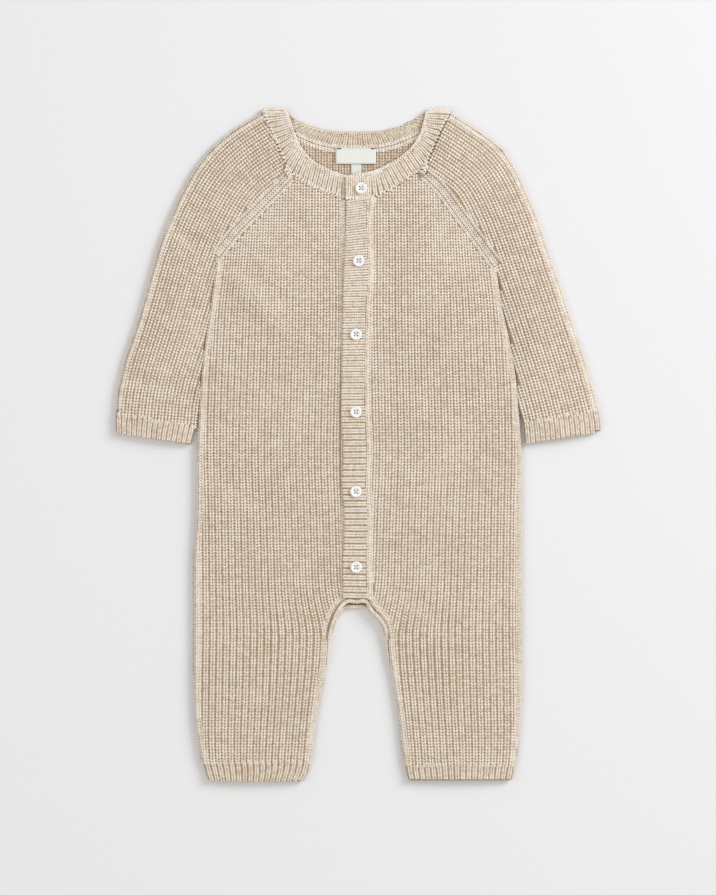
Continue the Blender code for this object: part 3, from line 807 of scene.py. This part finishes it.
hidden, inside = [], []
backLean = [(y, near if y < -100 else 0, middle, far) for y, near, middle, far in waleLean]
for side in (-1, 1):
    rows = sideRows("front_left" if side < 0 else "front_right", side)

    def nearX(y, rows=rows):
        return -2.0 if y > placketBottom else readTable(rows, y)[0]

    def farX(y, rows=rows, top=armpit["front_left" if side < 0 else "front_right"]):
        return readTable(rows, min(y, top))[1]

    settings = dict(frontKnit, firstWale=2.31, top=236, row=underRow)
    for wale in waleLines(side, nearX, farX, settings, backLean):
        hidden += onCloth(wale, "back", underSink, side=-1)
    for k in range(11):
        x = -2.0 + side * (2.2 + k * 4.35)
        wale = [(x, 196 + n * 2.2) for n in range(19)]
        inside += onCloth(wale, "back", 0.3)
shell = clothShell("back", "backPanel", 0.1, under=0.9)
below = knit("backUnderside", hidden, underStitch, stitchLook)
# the inside of the back is knitted in the darker yarn, as painted shade
within = knit("backInside", inside, dict(frontKnit["stitch"], Seed=41), shadedInsideLook)
backPieces = [below, within]

# Neckband: x, y on its neck edge and x, y on its seam, round each layer

bandFront = {
    "left": [
        (-8.8, 200.7, -8.8, 185.2), (-20.5, 204.8, -24.2, 190.4), (-34, 211.5, -37.6, 196.5),
        (-43.4, 221.6, -52.2, 206), (-48.4, 232.4, -60.7, 225.7), (-51.6, 243, -66.8, 239.9),
        (-55, 250.6, -71.2, 250.6),
    ],
    "right": [
        (-8.6, 200.8, -8.8, 185), (8.6, 203.6, 8.6, 185.7), (17, 206.8, 24, 191.5),
        (28.8, 212.9, 36.6, 200.4), (39.6, 221.6, 48.8, 208.2), (47, 232.4, 57, 226),
        (49.6, 241.4, 63.3, 239.7), (51.4, 250.6, 67.6, 250.6),
    ],
}
bandBack = [
    (-53, 248, -69, 247.6), (-45.4, 242.4, -60, 238.8), (-34, 238, -44.8, 229),
    (-19.8, 234.9, -25.9, 221.9), (-2, 234.1, -2, 220.2), (16, 234.9, 21.9, 221.9),
    (30, 238, 40.8, 229), (40.2, 242.4, 56.4, 238.8), (50, 248, 65.5, 247.6),
]
ribKnit = {
    "pitch": 3.8, "sink": 0.05, "row": 1.8,
    "stitch": {
        "Leg length": 2.9, "Leg spread": 0.82, "Leg lean": 0.22, "Leg dip": 0.06,
        "Yarn width": 1.75, "Yarn height": 1.5, "Bars": False, "Unevenness": 0.05,
        "Segments": 4, "Rings": 3, "Seed": 71,
    },
    "chain": {
        "Leg length": 2.9, "Leg spread": 0.55, "Leg lean": 0.40, "Leg dip": 0.12,
        "Yarn width": 1.35, "Yarn height": 1.3, "Bars": False, "Unevenness": 0.1,
        "Segments": 4, "Rings": 4, "Seed": 81,
    },
}


def ribsAlong(rows, pitch, start=0.0):
    # (seam point, neck point) of every rib, spaced along the middle of the strip
    middles = [((a + c) / 2, (b + d) / 2) for a, b, c, d in rows]
    ribs, walked = [], 0.0
    nextRib = start + pitch / 2
    for k in range(len(rows) - 1):
        size = math.dist(middles[k], middles[k + 1])
        while nextRib < walked + size:
            part = (nextRib - walked) / size
            a, b, c, d = (p + (q - p) * part for p, q in zip(rows[k], rows[k + 1]))
            ribs.append(((c, d), (a, b)))
            nextRib += pitch
        walked += size
    return ribs


def between(start, end, low, high, step=1.8):
    first = tuple(s + (e - s) * low for s, e in zip(start, end))
    last = tuple(s + (e - s) * high for s, e in zip(start, end))
    return spaced([first, last], step)


def bandEdge(rows, start, end):
    # the band's own edge, found along each rib from a part of the rib to another
    edge = []
    for seam, neck in ribsAlong(rows, 2.4, -1.2):
        for n in range(41):
            part = start + (end - start) * n / 40
            x, y = (s + (e - s) * part for s, e in zip(seam, neck))
            top = heightAt("neckband", x, y)
            if top is not None and top > 2.9:
                edge.append((x, y))
                break
    return edge


ribLines, chainLines, lapRibs = [], [], []
for name, rows in bandFront.items():
    overlap = 15.0 if name == "right" else 0.0
    for seam, neck in ribsAlong(rows, ribKnit["pitch"], overlap):
        ribLines += onCloth(between(seam, neck, 0.05, 0.92), "neckband", ribKnit["sink"])
    if overlap:
        for k in range(5):
            x = -7.9 + k * 3.3
            lapRibs.append(levelLine([(x, 185.9 + n * 1.8) for n in range(9)], 7.15))
    inward = 1.0 if name == "left" else -1.0
    neckEdge = smoothLine(bandEdge(rows, 1.25, 0.75), 2)
    seamEdge = smoothLine(bandEdge(rows, -0.3, 0.3), 1)
    chainLines += alongEdge(neckEdge, "neckband", -inward, 0.0)
    seamEdge = movedLine(seamEdge, -inward * 0.3)
    chainLines += alongEdge(seamEdge, "neckband", inward * 1.5, 0.1)
# stitches that close the corners where the band meets the raglan seams
for corner in (
    [(-53.6, 208.4), (-51.8, 205.2), (-50.4, 202.6)], [(-54.2, 206), (-52.8, 203.6), (-51.6, 201.4)],
    [(50.4, 210.2), (48.6, 207.2), (47, 204.6)], [(51, 207.8), (49.6, 205.4), (48.4, 203.2)],
):
    chainLines.append(levelLine(corner, 7.0))


def bareInside(x, y):
    # where no front layer covers the inside of the back
    top = heightAt("neckband", x, y)
    return top is None or top < 2.7


innerRibs = []
for seam, neck in ribsAlong(bandBack, ribKnit["pitch"], 1.0):
    innerRibs += onCloth(between(seam, neck, 0.3, 1.0), "neckband", 0.05, keep=bareInside)
    innerRibs += onCloth(between(seam, neck, 0.05, 0.98), "neckband", underSink, side=-1)
# ribs down the folds at the shoulders
for fold, seamX in ((-54.8, -70.8), (51.2, 67.2)):
    for z in (4.5, 2.8, 1.3):
        line = []
        for x, _ in between((seamX, 0), (fold, 0), 0.03, 0.97):
            hit, normal, _, _ = surfaces["neckband"].ray_cast(Vector((x, 300, z)), Vector((0, -1, 0)))
            if hit:
                line.append((hit, normal))
        ribLines.append(line)


def backStrip(part):
    # a line along the band's back, at a part of the way from its seam to its neck edge
    strip = [(c + (a - c) * part, d + (b - d) * part) for a, b, c, d in bandBack[1:-1]]
    return smoothLine(spaced(strip, 2.4), 4)


# one row along the inside's lower edge, and the linking on each side of it
rowLines = onCloth(backStrip(0.08), "neckband", 0.0, keep=bareInside)
linkLines = [levelLine([(x, y) for x, y in backStrip(-0.05) if bareInside(x, y + 1)], 2.4)]
linkLines += onCloth(backStrip(0.20), "neckband", 0.0, keep=bareInside)
shell = clothShell("neckband", "neckbandStrip", 0.12, longest=4.0, under=0.9)
ribs = knit("neckbandRibs", ribLines + lapRibs, ribKnit["stitch"], stitchLook)
chain = knit("neckbandChain", chainLines, ribKnit["chain"], chainLook)
# the band's inside is knitted in the darker yarn, as painted shade
within = knit("neckbandInside", innerRibs + rowLines, dict(ribKnit["stitch"], Seed=75), shadedInsideLook)
settings = dict(ribKnit["chain"], **{"Yarn width": 1.4, "Leg spread": 0.55, "Seed": 85})
link = knit("neckbandLinking", linkLines, settings, chainLook)
print("back and neckband knitted")

# Button bands: ribs run across, closer at the top than at the bottom

placket = {
    "free": [
        (184.4, -8.9), (168, -9.3), (147, -10), (128, -10.8), (104, -11.6), (78, -11.8), (52.5, -12.1),
        (28, -12.7), (-5, -11), (-30, -12.1), (-55, -10), (-86, -11.5), (-114.6, -11.4),
    ],
    "seam": [
        (184.4, 6.2), (168, 6.2), (147, 7), (128, 7.6), (104, 6), (78, 5.2), (52.5, 5), (28, 5.2),
        (-5, 6.6), (-30, 5.4), (-55, 6.8), (-86, 6), (-114.6, 6.5),
    ],
    "pitch": [(184, 3.75), (60, 4.1), (-20, 4.6), (-115, 4.6)],
    "slope": [(184, 0.16), (150, 0.12), (110, 0.02), (-60, 0.0), (-115, -0.03)],
    "topRib": 182.3, "bottomRib": -113.0, "halfWidth": 7,
}
lines = []
first, last = placket["topRib"], placket["bottomRib"]
ribHeights = [first]
while ribHeights[-1] > last + 2:
    ribHeights.append(ribHeights[-1] - readTable(placket["pitch"], ribHeights[-1])[0])
squeeze = (first - last) / (first - ribHeights[-1])    # so that the last rib ends at its place
for y in [first - (first - height) * squeeze for height in ribHeights]:
    left, right = readTable(placket["free"], y)[0], readTable(placket["seam"], y)[0]
    rise = readTable(placket["slope"], y)[0] * placket["halfWidth"]
    points = spaced([(left + 0.6, y - rise), (right - 0.2, y + rise)], 1.7)
    lines += onCloth(points, "placket_top", ribKnit["sink"])
shell = clothShell("placket_top", "placketTop", 0.12, longest=4.0)
settings = dict(ribKnit["stitch"], **{"Leg spread": 0.9, "Yarn width": 1.9, "Seed": 91})
ribs = knit("placketRibs", lines, settings, stitchLook)
seamLine = smoothLine([(readTable(placket["seam"], y)[0] + 0.9, y) for y in range(186, -116, -2)], 3)
chainLine = levelLine(spaced(seamLine[::-1], 2.3), 7.2)
chain = knit("placketSeam", [chainLine], dict(ribKnit["chain"], Seed=95), stitchLook)
shell = clothShell("placket_under", "placketUnder", 0.1)

# Cuffs: x, y on the inner end and x, y on the outer end of each, from the seam to the hem

cuffs = {
    "sleeve_cuff_left": [
        (-122, 14, -181.9, 22.4), (-123.9, 6.8, -182.1, 15.6), (-125.6, 0.2, -181.6, 9.2)],
    "sleeve_cuff_right": [
        (123.4, 16.4, 179.6, 25), (124.2, 8.6, 181, 17.6), (124.8, 1.4, 181.4, 10.4)],
    "leg_cuff_left": [
        (-36.3, -238.6, -116.4, -238.4), (-38, -245.6, -114.6, -245.2), (-41.4, -251.8, -112.6, -251.2)],
    "leg_cuff_right": [
        (35.1, -240.6, 116.8, -240.4), (36, -246.2, 116, -245.8), (37.4, -251.4, 114.8, -251.2)],
}
cuffPitch = {"sleeve": 3.9, "leg": 4.4}
cuffLook = yarnMaterial("melange yarn of the cuffs", *yarn["cuffs"])


def turnedOver(line, drop=1.6):
    # the rib's end rolled over the hem
    (point, up), (before, _) = line[-1], line[-2]
    ahead = (Vector(point) - Vector(before)).normalized()
    sign = 1 if up.z > 0 else -1
    down = Vector((0, 0, -sign))
    first = Vector(point) + ahead * 0.8 + down * 0.4
    second = Vector(point) + ahead * 1.2 + down * drop
    return line + [(first, (up + ahead).normalized()), (second, (ahead + up * 0.2).normalized())]


for nodeName, rows in cuffs.items():
    width = math.dist(rows[1][:2], rows[1][2:])
    count = round(width / cuffPitch[nodeName.split("_")[0]])
    lines, hidden = [], []
    for k in range(count):
        part = 0.008 + (k + 0.5) / count * 0.984    # just inside both ends
        points = [(a + (c - a) * part, b + (d - b) * part) for a, b, c, d in rows]
        points[-1] = tuple(q + (p - q) * 0.05 for p, q in zip(points[-2], points[-1]))
        path = spaced(points, ribKnit["row"])
        for line in onCloth(path, nodeName, ribKnit["sink"]):
            lines.append(turnedOver(drawnOut(line, 1.3)))
        hidden += [turnedOver(line, 1.1) for line in onCloth(path, nodeName, underSink, side=-1)]
    name = nodeName.replace("_left", "Left").replace("_right", "Right").replace("_cuff", "Cuff")
    shell = clothShell(nodeName, name, 0.12, longest=4.0, under=0.9)
    wide = 0.88 if nodeName.startswith("leg") else 0.8
    settings = dict(ribKnit["stitch"], **{"Leg spread": wide, "Yarn width": 1.8, "Seed": 101})
    ribs = knit(name + "Ribs", lines, settings, cuffLook)
    below = knit(name + "Underside", hidden, settings, cuffLook)
print("bands and cuffs knitted")

# Crotch trims: rolled bands with a column of stitches on each

def hoopLine(nodeName, z, centre=(-1.5, -150.0), widest=12):
    # the middle of a band, met by rays from a point between the legs, over the top
    points = []
    for angle in range(-84, 265, 3):
        ray = Vector((math.cos(math.radians(angle)), math.sin(math.radians(angle)), 0))
        near = surfaces[nodeName].ray_cast(Vector((*centre, z)), ray)[0]
        if near is None:
            continue
        far = surfaces[nodeName].ray_cast(near + ray * 0.05, ray)[0]
        if far is not None and (far - near).length < widest:
            points.append(((near.x + far.x) / 2, (near.y + far.y) / 2))
    return points


# Buttons and their thread

buttons = {
    "places": [(1.9, 192.4), (0.1, 138), (-1.9, 82.9), (-1.9, 24.8), (-1.9, -34.9), (-1.7, -91.5)],
    "dish": 9.0, "holes": 1.05,
}
buttonLook, tree, shader = newMaterial("pearly shell", (0.93, 0.93, 0.93), 0.28)
place = objectPlace(tree)
cloud = noiseOn(tree, place, 260.0, 3.0, (1, 2.5, 1))
addRamp(tree, shader, cloud.outputs["Fac"], (0, (0.89, 0.90, 0.93)), (1, (0.97, 0.965, 0.95)))
shader.inputs["Coat Weight"].default_value = 0.4
shader.inputs["Coat Roughness"].default_value = 0.15


def threadMaterial(name, colour, roughness, sheen):
    # sewing thread with the ridges of its twist
    made, tree, shader = newMaterial(name, colour, roughness)
    place = objectPlace(tree)
    twist = addNode(tree, "ShaderNodeTexWave", Scale=900.0, Distortion=1.5)
    tree.links.new(place, twist.inputs["Vector"])
    addBump(tree, shader, twist.outputs["Fac"], 0.6, 0.0001)
    shader.inputs["Sheen Weight"].default_value = sheen
    return made


threadLook = threadMaterial("sewing thread", (0.62, 0.53, 0.38), 0.8, 0.2)
# the thread in the button holes is painted dark brown, as painted shade inside the holes
holeShadeLook, tree, shader = newMaterial("thread in the holes darkened as painted shade", (0.17, 0.13, 0.06), 0.9)
place = objectPlace(tree)
grain = noiseOn(tree, place, 2400.0, 2.0)
addBump(tree, shader, grain.outputs["Fac"], 0.6, 0.0001)


def solidCopy(nodeName, name, look, angle=35):
    # the node's own form, smooth but for edges sharper than the angle in degrees
    mesh, body = nodeCopy(nodeName, name, look)
    keepForm(body, mesh)
    mesh.set_sharp_from_angle(angle=math.radians(angle))
    return finishPiece(addObject(name, mesh), nodeName)


def tubes(name, paths, radius, look, sides=6):
    # closed round strands along paths of points
    mesh = bpy.data.meshes.new(name)
    verts, faces = [], []
    for path in paths:
        path = [Vector(p) for p in path]
        first = len(verts)
        for k, point in enumerate(path):
            along = (path[min(k + 1, len(path) - 1)] - path[max(k - 1, 0)]).normalized()
            across = along.cross(Vector((0.31, 0.17, 0.93))).normalized()
            lift = across.cross(along)
            for n in range(sides):
                turn = 2 * math.pi * n / sides
                place = point + (across * math.cos(turn) + lift * math.sin(turn)) * radius
                verts.append(tuple(place * mm))
        for k in range(len(path) - 1):
            for n in range(sides):
                a, b = first + k * sides + n, first + k * sides + (n + 1) % sides
                faces.append((a, b, b + sides, a + sides))
        faces.append(tuple(first + n for n in range(sides))[::-1])
        faces.append(tuple(first + (len(path) - 1) * sides + n for n in range(sides)))
    mesh.from_pydata(verts, [], faces)
    body = bmesh.new()
    body.from_mesh(mesh)
    bmesh.ops.recalc_face_normals(body, faces=body.faces)
    keepForm(body, mesh)
    mesh.materials.append(look)
    return finishPiece(addObject(name, mesh))


for nodeName, name, z in (
    ("crotch_trim_front", "crotchTrimFront", 5.4), ("crotch_trim_back", "crotchTrimBack", 1.7)
):
    middle = hoopLine(nodeName, z)
    shell = clothShell(nodeName, name, 0.1, longest=3.0, look=stitchLook)
    lines = onCloth(spaced(smoothLine(middle, 2), seamRow), nodeName, 0.1)
    column = knit(name + "Column", lines, dict(ribKnit["chain"], Seed=111), stitchLook)
    seam = [(x, y, z + 0.2) for x, y in movedLine(smoothLine(middle, 2), 2.0)]
    # the seam's welt is in the dark ground yarn: a real seam, with painted shade as its colour
    welt = tubes(name + "Seam", [seam], 0.6, groundShadeLook)
    backPieces += [shell, column, welt]

for k, (x, y) in enumerate(buttons["places"]):
    solidCopy(f"button_{k + 1}", f"button{k + 1}", buttonLook)
    hole, z = buttons["holes"], buttons["dish"]
    paths = []
    for side in (-1, 1):
        paths.append([
            (x - hole, y - hole * side, z - 1.1), (x - hole * 0.85, y - hole * side * 0.85, z + 0.12),
            (x, y, z + 0.3 + side * 0.05),
            (x + hole * 0.85, y + hole * side * 0.85, z + 0.12), (x + hole, y + hole * side, z - 1.1),
        ])
    tubes(f"buttonThread{k + 1}", paths, 0.14, threadLook)
    # thread plugs in the holes, painted dark as the holes' shade
    shadedKnots = []
    for across in (-1, 1):
        for side in (-1, 1):
            shadedKnots.append([(x + hole * across, y + hole * side, z - 1.2 + n * 0.35) for n in (0, 1)])
    tubes(f"buttonHoleShadedThread{k + 1}", shadedKnots, 0.56, holeShadeLook)

# Neck label and its tab, both left blank
labelLook, tree, shader = newMaterial("ivory satin tape", (0.80, 0.815, 0.765), 0.5)
place = objectPlace(tree)
weave = []
for scale, direction in ((620.0, "Y"), (420.0, "X")):
    wave = addNode(tree, "ShaderNodeTexWave", Scale=scale, Distortion=0.6, bands_direction=direction)
    tree.links.new(place, wave.inputs["Vector"])
    weave.append(wave.outputs["Fac"])
addBump(tree, shader, maths(tree, "ADD", *weave), 0.35, 0.00008)
shader.inputs["Sheen Weight"].default_value = 0.2
shell = clothShell("label", "neckLabel", 0.0, longest=1.5, look=labelLook)
tab = clothShell("size_tab", "sizeTab", 0.0, longest=1.5, look=labelLook)
label = {"left": -17.3, "right": 13.1, "low": 210.6, "high": 222.4, "border": 1.0, "stitch": 3.4}


def onLabel(x, y, rise):
    return x, y, (heightAt("label", x, y) or 3.4) + rise


edge = label["border"]
left, right = label["left"] + edge, label["right"] - edge
low, high = label["low"] + edge, label["high"] - edge
outline = [(left, high), (right, high), (right, low), (left, low), (left, high)]
border = [onLabel(x, y, 0.02) for x, y in spaced(outline, 1.0)]
bordering = tubes("labelBorder", [border], 0.11, labelLook)
corners = []
for end, toward in ((label["left"] + 1.2, 1), (label["right"] - 0.4, -1)):
    xs = [end + toward * label["stitch"] * part for part in (0, 0.3, 0.7, 1)]
    corners.append([onLabel(x, label["high"] - 0.3, lift) for x, lift in zip(xs, (0, 0.3, 0.3, 0))])
darkThread = threadMaterial("dark sewing thread", (0.05, 0.045, 0.035), 0.85, 0.05)
stitchesOnLabel = tubes("labelStitches", corners, 0.3, darkThread)
print("buttons and label made")

# Floor and lights
floorMesh = bpy.data.meshes.new("floor")
floorMesh.from_pydata([(-4, -4, 0), (4, -4, 0), (4, 4, 0), (-4, 4, 0)], [], [(0, 1, 2, 3)])
floorMesh.materials.append(newMaterial("pale paper", (0.84, 0.84, 0.85), 0.9)[0])
floor = addObject("floor", floorMesh)

lights = {
    "key": {"place": (2.0, 1.15, 1.5), "size": 1.3, "power": 49, "colour": (0.885, 0.93, 1.0)},
    "fill": {"place": (-1.4, -0.6, 2.2), "size": 2.2, "power": 13.5, "colour": (0.95, 0.975, 1.0)},
}
for name, light in lights.items():
    data = bpy.data.lights.new(name, "AREA")
    data.size = light["size"]
    data.energy = light["power"]
    data.color = light["colour"]
    lamp = addObject(name, data)
    lamp.location = light["place"]
    lamp.rotation_mode = "QUATERNION"
    lamp.rotation_quaternion = Vector(light["place"]).to_track_quat("Z", "Y")

world = bpy.data.worlds.new("studio")
bpy.context.scene.world = world
world.use_nodes = True
world.node_tree.nodes["Background"].inputs["Color"].default_value = (1, 0.965, 0.91, 1)
world.node_tree.nodes["Background"].inputs["Strength"].default_value = 0.6
bpy.context.scene.view_settings.view_transform = "Standard"

print("triangles:", totals["triangles"])
